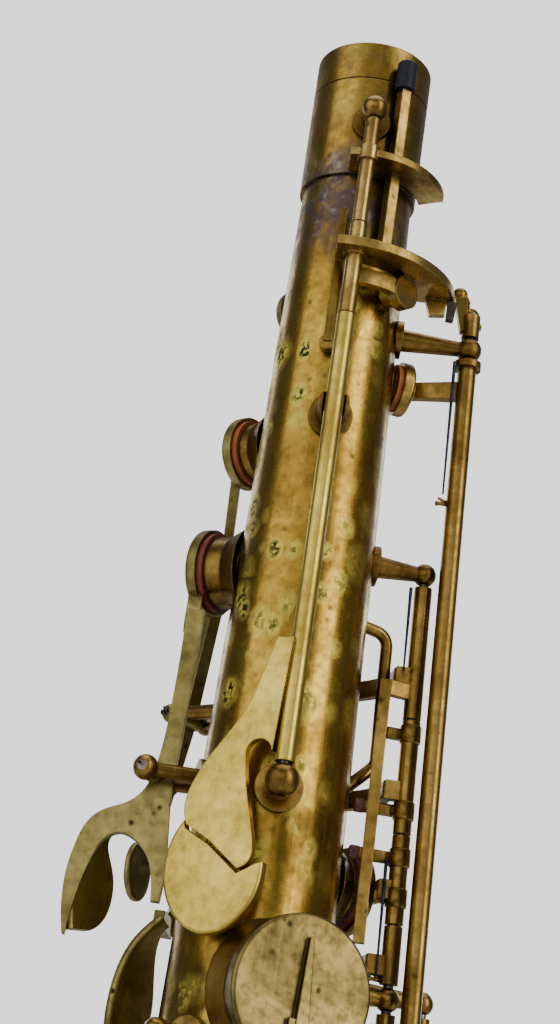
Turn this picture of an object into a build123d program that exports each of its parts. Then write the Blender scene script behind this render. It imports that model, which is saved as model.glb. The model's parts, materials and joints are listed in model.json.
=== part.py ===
from build123d import *
import os
from math import atan2, cos, degrees, hypot, radians, sin

# Straight soprano saxophone body, without its neck. Millimetres and degrees.
# The origin is the centre of the bell rim, +Z runs up the bore to the neck receiver.
# An azimuth is measured about +Z from -Y, the player's thumb side, towards +X.

# ---- body, bell and receiver
BODY_LENGTH = 590.0
RECEIVER_LENGTH = 26.0
RECEIVER_RADIUS = 10.0
RECEIVER_BORE_RADIUS = 8.8
TOP_RING_HEIGHT = 7.3
SEAM_WIDTH = 0.25
TUBE_TOP = BODY_LENGTH - RECEIVER_LENGTH
TUBE_BOTTOM = 90.0
TUBE_TOP_RADIUS = 9.4
TAPER = 0.0214
WALL = 0.8
BELL_RIM_RADIUS = 46.0
BELL_WAIST_HEIGHT = 26.0
BELL_WAIST_RADIUS = 29.0
RIM_WIRE_RADIUS = 1.5
RIM_FLAT_HEIGHT = 1.2

# ---- hinge rods, tubes and posts
ROD_RADIUS = 0.8
RUNNING_GAP = 0.06
TUBE_BORE_RADIUS = ROD_RADIUS + RUNNING_GAP
HINGE_TUBE_RADIUS = 1.45
BALL_RADIUS = 1.9
FOOT_RADIUS = 3.3
FOOT_THICKNESS = 0.8
SHANK_TIP_RADIUS = 1.15
END_GAP = 0.15

# ---- key cups
PAD_THICKNESS = 2.3
CUP_WALL = 0.6
CUP_SKIRT = 1.2
CUP_HEIGHT = 2.0
SEAT_GAP = 0.08
CHIMNEY_WALL = 1.0
ARM_THICKNESS = 1.4
ARM_CLEARANCE = 0.9
STACK_CHIMNEY = 1.6
OPEN_ANGLE = 7.0
BELL_KEY_ANGLE = 5.5
TOUCH_RISE = 2.6
STACK_AZIMUTH = 175


def body_radius(height):
    """Outside radius of the conical body at a height above the bell rim."""
    return TUBE_TOP_RADIUS + (TUBE_TOP - height) * TAPER


def at(azimuth, radius, height):
    """Point at a cylindrical position about the bore."""
    turn = radians(azimuth)
    return Vector(radius * sin(turn), -radius * cos(turn), height)


def facing(azimuth, radius, height):
    """Plane whose z points straight out of the body and whose y points up the bore."""
    turn = radians(azimuth)
    return Plane(
        origin=at(azimuth, radius, height),
        x_dir=(cos(turn), sin(turn), 0),
        z_dir=(sin(turn), -cos(turn), 0),
    )


def disc(radius, height):
    """Cylinder standing on its own XY plane."""
    return Cylinder(radius, height, align=(Align.CENTER, Align.CENTER, Align.MIN))


def cone(low_radius, high_radius, height):
    """Cone standing on its own XY plane."""
    return Cone(low_radius, high_radius, height, align=(Align.CENTER, Align.CENTER, Align.MIN))


def bar(start, end, side, start_width, end_width, thickness):
    """Straight tapering bar from start to end, its width lying along the side direction."""
    start, end, side = Vector(*start), Vector(*end), Vector(*side)
    along = (end - start).normalized()
    first = Plane(origin=start, x_dir=side - along * side.dot(along), z_dir=along)
    last = Plane(origin=end, x_dir=first.x_dir, z_dir=along)
    return loft([first * Rectangle(start_width, thickness), last * Rectangle(end_width, thickness)])


def rounded_bar(start, end, side, width, thickness):
    """Bar of even width with its two broad ends rounded."""
    start, end, side = Vector(*start), Vector(*end), Vector(*side)
    along = end - start
    across = (side - along * (side.dot(along) / along.dot(along))).normalized()
    plane = Plane(origin=start + along / 2, x_dir=along, z_dir=along.cross(across))
    return extrude(plane * SlotCenterToCenter(along.length, width), thickness / 2, both=True)


def arc_arm(start_azimuth, end_azimuth, inner, outer, height, width):
    """Flat strip that curves round the body between two azimuths."""
    ring = Pos(0, 0, height - width / 2) * (disc(outer, width) - disc(inner, width))
    middle = (start_azimuth + end_azimuth) / 2
    half = abs(end_azimuth - start_azimuth) / 2
    reach = outer * 2
    wedge = Polygon((0, 0), *[
        tuple(at(middle - half + half * step / 2, reach, 0))[:2] for step in range(5)
    ], align=None)
    return ring & Pos(0, 0, height - width) * extrude(wedge, width * 2)


def upright(*corners):
    """Prism over a polygon seen from above, as tall as the whole instrument."""
    return extrude(Polygon(*corners, align=None), BODY_LENGTH, dir=(0, 0, 1))


class HingeLine:
    """Straight line that a set of hinge tubes turns about."""

    def __init__(self, azimuth, top, bottom, top_standoff, bottom_standoff, bottom_azimuth=None):
        self.azimuth = azimuth
        self.top = top
        self.bottom = bottom
        self.high = at(azimuth, body_radius(top) + top_standoff, top)
        low_azimuth = azimuth if bottom_azimuth is None else bottom_azimuth
        self.low = at(low_azimuth, body_radius(bottom) + bottom_standoff, bottom)
        self.direction = (self.high - self.low).normalized()

    def point(self, height):
        share = (height - self.bottom) / (self.top - self.bottom)
        return self.low + (self.high - self.low) * share

    def plane(self, height):
        return Plane(origin=self.point(height), z_dir=self.direction)

    def axis(self):
        return Axis(self.low, self.direction)

    def solid(self, top, bottom, radius):
        length = (self.point(top) - self.point(bottom)).length
        return self.plane(bottom) * disc(radius, length)

    def tube(self, top, bottom, radius=HINGE_TUBE_RADIUS):
        return self.solid(top, bottom, radius) - self.solid(top + 1, bottom - 1, TUBE_BORE_RADIUS)

    def rod(self, top, bottom):
        """Steel rod with a slotted head showing in the post ball at its top."""
        slot = self.plane(top) * Box(ROD_RADIUS * 3, 0.35, 0.7)
        return self.solid(top, bottom, ROD_RADIUS) - slot

    def hollow(self):
        """Clearance for the rod, cut through every key that turns on this line."""
        return self.solid(self.top + 9, self.bottom - 4, TUBE_BORE_RADIUS)


OCTAVE_LINE = HingeLine(3, 573.6, 457.7, 6.1, 6.1)
SIDE_E_LINE = HingeLine(92, 539.2, 345.0, 12.3, 12.9, 84)
STACK_LINE = HingeLine(98, 499.0, 268.0, 8.8, 10.6)
SIDE_C_LINE = HingeLine(110, 432.0, 344.0, 16.8, 16.8)
G_TOUCH_LINE = HingeLine(-36, 420.0, 396.0, 7.5, 7.5)
LOW_C_LINE = HingeLine(86, 262.0, 205.0, 9.5, 9.5)
LOW_B_FLAT_LINE = HingeLine(-74, 356.0, 112.0, 9.5, 9.5)
LOW_B_LINE = HingeLine(-92, 356.0, 152.0, 9.5, 9.5)
LOW_C_SHARP_LINE = HingeLine(-110, 356.0, 192.0, 9.5, 9.5)

# ---- tone holes: azimuth, height, cup diameter, chimney height above the body
HOLES = {
    "palm_d": (-118, 496.0, 14.4, 4.6),
    "palm_e_flat": (-128, 518.5, 12.4, 3.4),
    "palm_f": (-152, 547.0, 10.0, 2.6),
    "side_e": (106, 531.5, 9.2, 0.3),
    "g_sharp": (24, 428.0, 22.0, 4.4),
    "bis": (128, 447.5, 14.0, 2.2),
    "c_vent": (STACK_AZIMUTH, 481.5, 11.0, STACK_CHIMNEY),
    "b": (STACK_AZIMUTH, 463.0, 14.0, STACK_CHIMNEY),
    "a": (STACK_AZIMUTH, 436.0, 16.0, STACK_CHIMNEY),
    "g": (STACK_AZIMUTH, 412.0, 17.0, STACK_CHIMNEY),
    "f_sharp": (STACK_AZIMUTH, 378.0, 17.5, STACK_CHIMNEY),
    "f": (STACK_AZIMUTH, 356.5, 18.5, STACK_CHIMNEY),
    "e": (STACK_AZIMUTH, 334.0, 19.5, STACK_CHIMNEY),
    "d": (STACK_AZIMUTH, 300.0, 21.0, STACK_CHIMNEY),
    "side_c": (126, 396.0, 12.5, 2.2),
    "side_b_flat": (126, 368.5, 13.0, 2.2),
    "low_e_flat": (38, 252.0, 20.0, 2.0),
    "low_c": (158, 226.0, 24.0, 2.0),
    "low_c_sharp": (-158, 205.0, 24.0, 2.0),
    "low_b": (-150, 168.0, 27.0, 2.2),
    "low_b_flat": (-140, 128.0, 29.0, 2.4),
}
OCTAVE_VENT = (46, 543.2, 5.6, 2.0)


def outer_skin():
    """Solid filling the instrument's outside, used to seat feet and chimneys on it."""
    tube = cone(body_radius(TUBE_BOTTOM), TUBE_TOP_RADIUS, TUBE_TOP - TUBE_BOTTOM)
    tube = Pos(0, 0, TUBE_BOTTOM) * tube
    receiver = Pos(0, 0, TUBE_TOP) * disc(RECEIVER_RADIUS, RECEIVER_LENGTH)
    return tube + receiver + bell_profile(0)


def bell_profile(inset):
    """Solid of the flaring bell below the body tube, drawn in by an inset."""
    start = (body_radius(TUBE_BOTTOM) - inset, TUBE_BOTTOM)
    waist = (BELL_WAIST_RADIUS - inset, BELL_WAIST_HEIGHT)
    rim = (BELL_RIM_RADIUS - RIM_WIRE_RADIUS - inset * 0.3, RIM_FLAT_HEIGHT - inset * 0.9)
    upper = TangentArc(start, waist, tangent=(TAPER, -1))
    lower = TangentArc(waist, rim, tangent=upper % 1)
    base = Polyline(rim, (0, rim[1]), (0, TUBE_BOTTOM), start)
    outline = make_face(Wire([*upper.edges(), *lower.edges(), *base.edges()]))
    return revolve(Plane.XZ * outline, Axis.Z)


SKIN = outer_skin()


def seat_height(hole):
    """Distance of a tone hole's rim from the bore axis."""
    _, height, _, chimney = hole
    return body_radius(height) + chimney


def cup_top(hole):
    """Distance of a closed cup's flat top from the bore axis."""
    return seat_height(hole) + SEAT_GAP + PAD_THICKNESS + CUP_WALL


def tone_hole(hole):
    """Clear bore of a tone hole, cut through the body wall."""
    azimuth, height, diameter, _ = hole
    radius = diameter / 2 - CUP_SKIRT - CHIMNEY_WALL
    return facing(azimuth, 0, height) * disc(radius, seat_height(hole) + 1)


def chimney_ring(hole):
    """Soldered tone hole chimney with a small fillet of solder at its foot."""
    azimuth, height, diameter, chimney = hole
    outer = diameter / 2 - CUP_SKIRT
    base = body_radius(height) * 0.6
    wall = facing(azimuth, base, height) * disc(outer, seat_height(hole) - base)
    flare_base = body_radius(height) - 1.5
    flare = facing(azimuth, flare_base, height) * cone(outer + 1.5, outer, min(chimney, 2.0) + 1.2)
    return wall + flare - tone_hole(hole) - SKIN


def pad(hole):
    """Felt and leather pad that closes a tone hole."""
    azimuth, height, diameter, _ = hole
    seat = facing(azimuth, seat_height(hole) + SEAT_GAP, height)
    return seat * disc(diameter / 2 - CUP_WALL, PAD_THICKNESS)


def cup(hole):
    """Pressed brass cup with a rounded shoulder, open towards the body."""
    azimuth, height, diameter, _ = hole
    shell = disc(diameter / 2, CUP_HEIGHT)
    shell = fillet(shell.edges().group_by(Axis.Z)[-1], CUP_WALL)
    shell -= disc(diameter / 2 - CUP_WALL, CUP_HEIGHT - CUP_WALL)
    return facing(azimuth, cup_top(hole) - CUP_HEIGHT, height) * shell


def post(line, height, ball_radius=BALL_RADIUS, foot_radius=FOOT_RADIUS):
    """Soldered foot, turned shank and ball, drilled for the hinge rod."""
    centre = line.point(height)
    azimuth = degrees(atan2(centre.X, -centre.Y))
    reach = hypot(centre.X, centre.Y)
    surface = RECEIVER_RADIUS if height > TUBE_TOP else body_radius(height)
    foot = facing(azimuth, surface - 2, height) * disc(foot_radius, 2 + FOOT_THICKNESS)
    shank_base = surface - 1
    shank = facing(azimuth, shank_base, height) * cone(
        SHANK_TIP_RADIUS * 1.75, SHANK_TIP_RADIUS, reach - shank_base
    )
    ball = Pos(*centre) * Sphere(ball_radius)
    hole = line.solid(line.top + 4, line.bottom - 4, ROD_RADIUS)
    return foot + shank + ball - hole - SKIN


def lift_sign(line, azimuth, height):
    """+1 where a right-handed turn about the line lifts the cup at this azimuth."""
    point = at(azimuth, body_radius(height), height)
    arm = point - line.point(height)
    swing = Vector(-arm.Y, arm.X, 0)
    return 1 if swing.dot(Vector(point.X, point.Y, 0)) > 0 else -1


def arm_to_cup(line, hole):
    """Curved strip from a hinge tube round to the middle of a cup, and its boss on the cup."""
    azimuth, height, _, _ = hole
    hub = line.point(height)
    inner = cup_top(hole) + ARM_CLEARANCE
    hub_azimuth = degrees(atan2(hub.X, -hub.Y)) % 360
    turn = (azimuth - hub_azimuth + 180) % 360 - 180
    past = 12 if turn > 0 else -12
    strip = arc_arm(hub_azimuth, hub_azimuth + turn + past, inner, inner + ARM_THICKNESS, height, 3.0)
    boss_base = cup_top(hole) - CUP_WALL
    boss = facing(azimuth, boss_base, height) * disc(2.2, inner + 1.0 - boss_base)
    hub_reach = hypot(hub.X, hub.Y)
    lug = bar(
        at(hub_azimuth, inner + 0.2, height), at(hub_azimuth, hub_reach, height), (0, 0, 1), 3.0, 3.0, 2.0
    )
    return strip + boss + lug


def finger_pearl(azimuth, radius, height):
    """Shallow brass dish and the pearl set in it."""
    dish = facing(azimuth, radius, height) * (disc(5.4, 2.0) - Pos(0, 0, 0.7) * disc(4.8, 1.4))
    bead = facing(azimuth, radius + 0.7, height) * disc(4.75, 1.7)
    bead = fillet(bead.edges().sort_by_distance(at(azimuth, radius + 5, height))[0], 0.8)
    return dish, bead


def opened(parts, line, hole, angle=OPEN_ANGLE):
    """Swings parts built closed to their rest position above the open tone hole."""
    turn = angle * lift_sign(line, hole[0], hole[1])
    return [part.rotate(line.axis(), turn) for part in parts]


def joined(*parts):
    """One solid made of parts that overlap."""
    whole = parts[0]
    for part in parts[1:]:
        whole = whole + part
    return whole


def link_bar():
    """Long flat bar that carries the upper stack's motion to the smallest cup."""
    top, bottom, azimuth = 480.2, 438.5, 91
    high = at(azimuth, body_radius(top) + 4.3, top)
    low = at(azimuth, body_radius(bottom) + 4.1, bottom)
    strip = bar(high, low, at(azimuth, 1, 0), 1.8, 1.8, 1.2)
    hub = STACK_LINE.point(479.0)
    strut = bar(high - Vector(0, 0, 1.2), hub, (0, 0, 1), 2.4, 2.4, 1.4)
    return strip + strut


def stack_key(hole_name, tube_top, tube_bottom, pearl_height=None):
    """Open stack key: tube, arm, cup and pad, with a finger pearl where one is played."""
    hole = HOLES[hole_name]
    brass = joined(
        STACK_LINE.tube(tube_top - END_GAP, tube_bottom + END_GAP),
        arm_to_cup(STACK_LINE, hole),
        cup(hole),
    )
    if hole_name == "c_vent":
        brass = brass + link_bar()
    brass -= STACK_LINE.hollow()
    loose = [pad(hole)]
    if pearl_height is not None:
        radius = cup_top(hole) + ARM_CLEARANCE + ARM_THICKNESS
        dish, bead = finger_pearl(hole[0], radius - 0.2, pearl_height)
        brass = brass + dish
        loose.append(bead)
    return opened([brass, *loose], STACK_LINE, hole)


def save(name, *shapes):
    """Writes one named piece, made of one or more solids, as a STEP file."""
    solids = [solid for shape in shapes for solid in shape.solids()]
    whole = solids[0] if len(solids) == 1 else Compound(children=solids)
    whole.label = name
    export_step(whole, f"parts/{name}.step")


# ---- body pieces
def body_tube():
    length = TUBE_TOP - TUBE_BOTTOM
    outside = cone(body_radius(TUBE_BOTTOM), TUBE_TOP_RADIUS, length)
    bore = cone(body_radius(TUBE_BOTTOM) - WALL, TUBE_TOP_RADIUS - WALL, length)
    tube = Pos(0, 0, TUBE_BOTTOM) * (outside - bore)
    for hole in [*HOLES.values(), OCTAVE_VENT]:
        tube -= tone_hole(hole)
    return tube


def bell():
    return bell_profile(0) - bell_profile(WALL)


def bell_rim_ring():
    """Wire rolled into the bell's edge, with the narrow flat that it stands on."""
    centre = (BELL_RIM_RADIUS - RIM_WIRE_RADIUS, RIM_FLAT_HEIGHT)
    wire = revolve(Plane.XZ * Pos(*centre) * Circle(RIM_WIRE_RADIUS), Axis.Z)
    floor = Pos(0, 0, -5) * disc(BELL_RIM_RADIUS * 2, 5)
    return wire - floor - bell_profile(0)


def bell_joint_ring():
    """Clamping band over the joint between body and bell."""
    height = 9.0
    band = Pos(0, 0, TUBE_BOTTOM) * disc(body_radius(TUBE_BOTTOM) + 1.4, height)
    band = fillet(band.edges(), 0.5)
    return band - SKIN


def neck_receiver():
    """Split sleeve that the neck's tenon enters, with two lugs for its clamp screw."""
    lower = Pos(0, 0, TUBE_TOP) * disc(RECEIVER_RADIUS, RECEIVER_LENGTH - TOP_RING_HEIGHT)
    upper = Pos(0, 0, TUBE_TOP) * disc(RECEIVER_RADIUS - 0.6, RECEIVER_LENGTH)
    lugs = Pos(0, RECEIVER_RADIUS + 1.6, TUBE_TOP + 9) * Box(6.4, 5.6, 7)
    bore = Pos(0, 0, TUBE_TOP - 1) * disc(RECEIVER_BORE_RADIUS, RECEIVER_LENGTH + 2)
    split = Pos(0, RECEIVER_RADIUS + 1.6, TUBE_TOP + 9) * Box(1.2, 8.4, 18)
    screw_hole = Pos(0, RECEIVER_RADIUS + 2.4, TUBE_TOP + 9) * Rot(0, 90, 0) * Cylinder(1.1, 20)
    return lower + upper + lugs - bore - split - screw_hole


def receiver_top_ring():
    height = TOP_RING_HEIGHT - SEAM_WIDTH
    ring = disc(RECEIVER_RADIUS, height)
    ring = fillet(ring.edges().group_by(Axis.Z)[-1], 0.4)
    ring = ring - disc(RECEIVER_RADIUS - 0.6, height)
    return Pos(0, 0, BODY_LENGTH - height) * ring


def receiver_clamp_screw():
    """Thumb screw through the receiver's lugs."""
    head = Pos(6.2, 0, 0) * Rot(0, 90, 0) * Cylinder(3.4, 1.8)
    shaft = Rot(0, 90, 0) * Cylinder(1.05, 10.6)
    collar = Pos(4.3, 0, 0) * Rot(0, 90, 0) * Cylinder(2.0, 2.0)
    return Pos(0, RECEIVER_RADIUS + 2.4, TUBE_TOP + 9) * (head + shaft + collar)


def cradle(line, height, foot_radius=3.6, stem_radius=2.5):
    """Soldered guide whose open mouth steadies the middle of a long hinge tube."""
    centre = line.point(height)
    azimuth = degrees(atan2(centre.X, -centre.Y))
    surface = body_radius(height)
    reach = hypot(centre.X, centre.Y)
    foot = facing(azimuth, surface - 2, height) * disc(foot_radius, 2 + FOOT_THICKNESS)
    stem = facing(azimuth, surface - 1, height) * disc(stem_radius, reach - surface + 1)
    room = HINGE_TUBE_RADIUS + 0.35
    gap = line.solid(height + 6, height - 6, room)
    mouth = Box(2 * room, 12, 6, align=(Align.CENTER, Align.CENTER, Align.MIN))
    mouth = facing(azimuth, reach, height) * mouth
    return foot + stem - gap - mouth - SKIN


def octave_posts():
    """Post at each end of the octave rod, and the cradle that steadies its long tube."""
    top = post(OCTAVE_LINE, OCTAVE_LINE.top, 2.15, 3.2)
    bottom = post(OCTAVE_LINE, OCTAVE_LINE.bottom, 2.55, 3.7)
    return [top, bottom, cradle(OCTAVE_LINE, 519.0)]


def neck_octave_lever():
    """Upper octave tube with its crescent and the square pin that rises past the receiver."""
    tube = OCTAVE_LINE.tube(571.2, 551.5, 1.25)
    hub_height = 564.5
    sleeve = OCTAVE_LINE.tube(hub_height + 1.3, hub_height - 1.3, 1.75)
    plate = Pos(0.8, -2.6, hub_height - 0.6) * disc(13.9, 1.2)
    plate = plate - Pos(0, 0, hub_height - 5) * disc(RECEIVER_RADIUS + 0.7, 10)
    keep = upright((-2.2, -40), (-2.2, 0), (9.0, -1.2), (20, -7.6), (40, -40))
    crescent = plate & keep
    pin = bar(at(27, 11.9, 548.4), at(27, 11.9, 580.5), at(27, 1, 0), 2.0, 2.0, 1.7)
    tang = Pos(0, 0, 580.5) * Pos(*at(27, 11.9, 0)) * disc(0.8, 3.5)
    return joined(tube, sleeve, crescent, pin, tang) - OCTAVE_LINE.hollow()


def octave_sleeve():
    """Rubber sleeve pushed over the pin's tang."""
    sleeve = disc(1.7, 5.6)
    sleeve = fillet(sleeve.edges().group_by(Axis.Z)[-1], 0.7)
    place = Pos(*at(27, 11.9, 580.6))
    return place * sleeve - Pos(*at(27, 11.9, 580.5)) * disc(0.8, 3.6)


def octave_transfer_lever():
    """Middle octave tube with the large crescent, its fork, and the body vent's cup."""
    hub_height = 546.6
    tube = OCTAVE_LINE.tube(551.2, 534.7, 1.4)
    sleeve = OCTAVE_LINE.tube(hub_height + 1.4, hub_height - 1.4, 1.9)
    plate = Pos(0.3, -0.5, hub_height - 0.75) * disc(18.4, 1.5)
    inner = Pos(-1.0, 0.6, hub_height - 5) * disc(13.6, 10)
    keep = upright((-2.3, -40), (-2.3, 0), (12, -1.5), (22, -1.5), (40, -40))
    crescent = (plate - inner) & keep
    fork = bar((15.4, -2.9, hub_height), (15.9, -2.9, hub_height - 3.6), (1, 0, 0), 4.0, 2.6, 1.4)
    arm = arc_arm(3, OCTAVE_VENT[0] + 8, 12.8, 14.2, OCTAVE_VENT[1], 2.6)
    lug = bar(at(3, 13.2, OCTAVE_VENT[1]), at(3, 15.6, OCTAVE_VENT[1]), (0, 0, 1), 2.6, 2.6, 2.2)
    vent = facing(OCTAVE_VENT[0], 12.2, OCTAVE_VENT[1]) * disc(2.8, 2.0)
    whole = joined(tube, sleeve, crescent, fork, arm, lug, vent) - OCTAVE_LINE.hollow()
    return whole - octave_vent_pad()


def octave_vent_pad():
    """Small cork pad over the body octave vent."""
    return facing(OCTAVE_VENT[0], octave_pip_top(), OCTAVE_VENT[1]) * disc(2.2, 1.2)


def octave_pip_top():
    return body_radius(OCTAVE_VENT[1]) + OCTAVE_VENT[3] + SEAT_GAP


def octave_pip():
    """Vent pip soldered into the body under the octave pad."""
    azimuth, height, _, rise = OCTAVE_VENT
    wall = facing(azimuth, 5, height) * disc(1.9, body_radius(height) + rise - 5)
    return wall - facing(azimuth, 0, height) * disc(0.75, 20) - SKIN


def transfer_cork():
    """Cork glued to the fork where the changeover lever rests."""
    return bar((18.3, -2.9, 545.8), (18.1, -2.9, 542.4), (1, 0, 0), 1.7, 1.3, 1.4)


def changeover_lever():
    """Curved blade above the right-hand rod that lifts the transfer lever's fork."""
    hub = SIDE_E_LINE.tube(545.6, 541.4, 1.5)
    low = SIDE_E_LINE.point(543.0)
    blade = bar(low, low + Vector(-2.4, 0.8, 6.6), (1, 0, 0), 3.8, 2.0, 1.5)
    tip = Pos(*(low + Vector(-2.4, 0.8, 6.8))) * Sphere(1.3)
    roller = Pos(*(low + Vector(-0.2, 1.5, 3.2))) * Sphere(1.6)
    return joined(hub, blade, tip, roller) - SIDE_E_LINE.hollow()


TOUCH_AZIMUTH = -27
TOUCH_DISTANCE = 15.8


def touch_outline():
    """Pear-shaped thumb touch, seen square on: x across, y the height up the body."""
    left = Spline((3.0, 469.6), (-0.2, 464.2), (-4.5, 457.5), (-5.7, 452.6), (-5.0, 450.2))
    base = Polyline((-5.0, 450.2), (-0.7, 447.9), (4.4, 444.0))
    right = Spline((4.4, 444.0), (6.3, 445.6), (6.1, 448.6), (4.3, 455.1), (3.3, 460.4))
    throat = ThreePointArc((3.3, 460.4), (4.6, 463.3), (7.4, 461.6))
    top = Polyline((7.4, 461.6), (8.4, 479.2), (5.7, 479.2), (3.0, 469.6))
    sides = (left, base, right, throat, top)
    return make_face(Wire([edge for side in sides for edge in side.edges()]))


def octave_thumb_key():
    """Long octave tube with the thumb touch brazed to its lower end."""
    tube = OCTAVE_LINE.tube(534.5, 460.4, 1.5)
    touch = Plane(
        origin=at(TOUCH_AZIMUTH, TOUCH_DISTANCE, 0),
        x_dir=facing(TOUCH_AZIMUTH, 1, 0).x_dir,
        z_dir=at(TOUCH_AZIMUTH, 1, 0),
    ) * extrude(touch_outline(), 1.3)
    ball_room = Pos(*OCTAVE_LINE.point(457.7)) * Sphere(3.0)
    return joined(tube, touch) - OCTAVE_LINE.hollow() - ball_room


def thumb_rest():
    """Polished egg-shaped plate under the octave touch, on a short soldered stem."""
    plane = Plane(
        origin=at(TOUCH_AZIMUTH, TOUCH_DISTANCE - 0.9, 0),
        x_dir=facing(TOUCH_AZIMUTH, 1, 0).x_dir,
        z_dir=at(TOUCH_AZIMUTH, 1, 0),
    )
    egg = Pos(0, 444.2) * Ellipse(8.1, 9.8)
    plate = extrude(egg, 1.6)
    plate = fillet(plate.edges().group_by(Axis.Z)[-1], 0.5)
    seam = (
        (-6.1, 456), (-6.1, 452.4), (-5.4, 449.7), (-1.0, 447.3),
        (4.1, 443.4), (6.7, 444.8), (9, 445.6), (9, 456),
    )
    plate = plane * (plate - extrude(Polygon(*seam, align=None), 4, both=True))
    stem_height = 442
    surface = body_radius(stem_height)
    stem = facing(TOUCH_AZIMUTH, surface - 2, stem_height) * disc(3.2, TOUCH_DISTANCE - surface + 1.4)
    return plate + stem - SKIN


# ---- palm keys
class CrossLine:
    """Hinge line that runs across the body, square to the bore."""

    def __init__(self, centre, direction, half_length):
        self.centre = Vector(*centre)
        self.direction = Vector(*direction).normalized()
        self.half_length = half_length

    def end(self, sign):
        return self.centre + self.direction * (self.half_length * sign)

    def solid(self, start, stop, radius):
        plane = Plane(origin=self.centre + self.direction * start, z_dir=self.direction)
        return plane * disc(radius, stop - start)

    def tube(self, start, stop, radius=HINGE_TUBE_RADIUS):
        return self.solid(start, stop, radius) - self.solid(start - 1, stop + 1, TUBE_BORE_RADIUS)

    def hollow(self):
        return self.solid(-self.half_length - 4, self.half_length + 4, TUBE_BORE_RADIUS)

    def rod(self):
        slot_plane = Plane(origin=self.end(-1) - self.direction * BALL_RADIUS, z_dir=self.direction)
        reach = self.half_length + BALL_RADIUS
        rod = self.solid(0.15 - reach, reach - 0.3, ROD_RADIUS)
        return rod - slot_plane * Rot(0, 0, 35) * Box(4, 0.4, 1.4)

    def posts(self, ball_radius=BALL_RADIUS, foot_radius=2.3):
        made = []
        for sign in (-1, 1):
            centre = self.end(sign)
            azimuth = degrees(atan2(centre.X, -centre.Y))
            surface = body_radius(centre.Z)
            foot = facing(azimuth, surface - 2, centre.Z) * disc(foot_radius, 2 + FOOT_THICKNESS)
            shank = facing(azimuth, surface - 1, centre.Z) * cone(
                SHANK_TIP_RADIUS * 1.2, SHANK_TIP_RADIUS * 0.85, hypot(centre.X, centre.Y) - surface + 1
            )
            ball = Plane(origin=centre, z_dir=self.direction) * Sphere(ball_radius)
            made.append(foot + shank + ball - self.solid(-20, 20, ROD_RADIUS) - SKIN)
        return made


PALM_D_LINE = CrossLine((-18.4, 0.5, 459.5), (0.28, 0.96, 0), 5.6)
PALM_E_FLAT_LINE = CrossLine((-15.6, 16.4, 473.0), (0.72, 0.694, 0), 3.9)
PALM_F_LINE = CrossLine((-9.4, 22.4, 448.3), (0.922, 0.387, 0), 3.9)
G_SHARP_LINE = CrossLine(
    tuple(at(24, body_radius(400) + 6.2, 400)), (cos(radians(24)), sin(radians(24)), 0), 6.6
)


def spoon(centre, azimuth, lean, width, length, thickness=1.3):
    """Oval touch plate with a rounded edge, facing an azimuth and leaning out at its top."""
    turn = radians(azimuth)
    plane = Plane(origin=centre, x_dir=(cos(turn), sin(turn), 0), z_dir=(sin(turn), -cos(turn), 0))
    oval = extrude(Ellipse(width / 2, length / 2), thickness / 2, both=True)
    oval = fillet(oval.edges(), thickness * 0.4)
    return plane * Rot(lean, 0, 0) * oval


def curled_leaf(edge, across, thickness=1.5):
    """Palm touch bent from a strip, given points along its near edge and the width at each."""
    points = [Vector(*point) for point, width in edge]
    sections = []
    for index, (point, width) in enumerate(edge):
        along = (points[min(index + 1, len(edge) - 1)] - points[max(index - 1, 0)]).normalized()
        side = (across - along * across.dot(along)).normalized()
        plane = Plane(origin=points[index] + side * (width / 2), x_dir=side, z_dir=along)
        sections.append(plane * RectangleRounded(width, thickness, thickness * 0.4))
    return loft(sections)


def palm_d_outline():
    """Side view of the D lever, x across and y up: arm, arched branch to its touch, and leg."""
    left = Spline(
        (-17.9, 487.0), (-17.7, 480.8), (-17.8, 473.0), (-18.1, 465.9), (-18.6, 461.6), (-20.4, 456.4),
        (-22.8, 454.4), (-25.4, 453.2), (-27.6, 451.2), (-28.9, 448.0), (-29.8, 442.0), (-28.8, 433.6),
    )
    inner = Spline(
        (-28.4, 433.6), (-27.9, 438.0), (-27.2, 442.0), (-26.1, 445.9), (-24.6, 448.8), (-22.3, 449.9),
        (-20.4, 449.3), (-18.5, 447.8), (-17.2, 445.3), (-16.3, 440.2),
    )
    right = Spline(
        (-14.9, 440.2), (-14.8, 447.0), (-15.6, 456.7), (-15.4, 464.0), (-15.1, 475.0), (-15.0, 487.0)
    )
    ends = (Line(left @ 1, inner @ 0), Line(inner @ 1, right @ 0), Line(right @ 1, left @ 0))
    return make_face(Wire([edge for curve in (left, inner, right, *ends) for edge in curve.edges()]))


def palm_d_key():
    """Deep lever with a forked lower end: a curled palm touch and a leg over the next key."""
    line = PALM_D_LINE
    hole = HOLES["palm_d"]
    top = at(hole[0], cup_top(hole) + 0.3, hole[1])
    lever = Plane.XZ.offset(-0.6) * extrude(palm_d_outline(), 1.0, both=True)
    upper = bar(top + Vector(-0.6, 0.5, 3.5), (-16.9, 0.8, 484.0), (1, 0, 0), 2.6, 2.2, 1.8)
    boss = bar(top - at(hole[0], 0.8, 0), top + Vector(-0.3, 0.3, 0), (0, 0, 1), 6.0, 5.0, 4.0)
    edge = (
        ((-24.4, 0.6, 451.8), 3.0), ((-27.0, 0.6, 449.9), 5.2), ((-28.4, 0.6, 446.2), 7.6),
        ((-28.9, 0.6, 441.2), 9.0), ((-28.6, 0.6, 436.8), 7.8), ((-28.1, 0.6, 434.4), 4.6),
    )
    touch = curled_leaf(edge, Vector(0.669, 0.743, 0))
    whole = joined(cup(hole), boss, upper, lever, line.tube(-2.8, 2.8), touch)
    return whole - line.hollow() - pad(hole)


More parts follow.
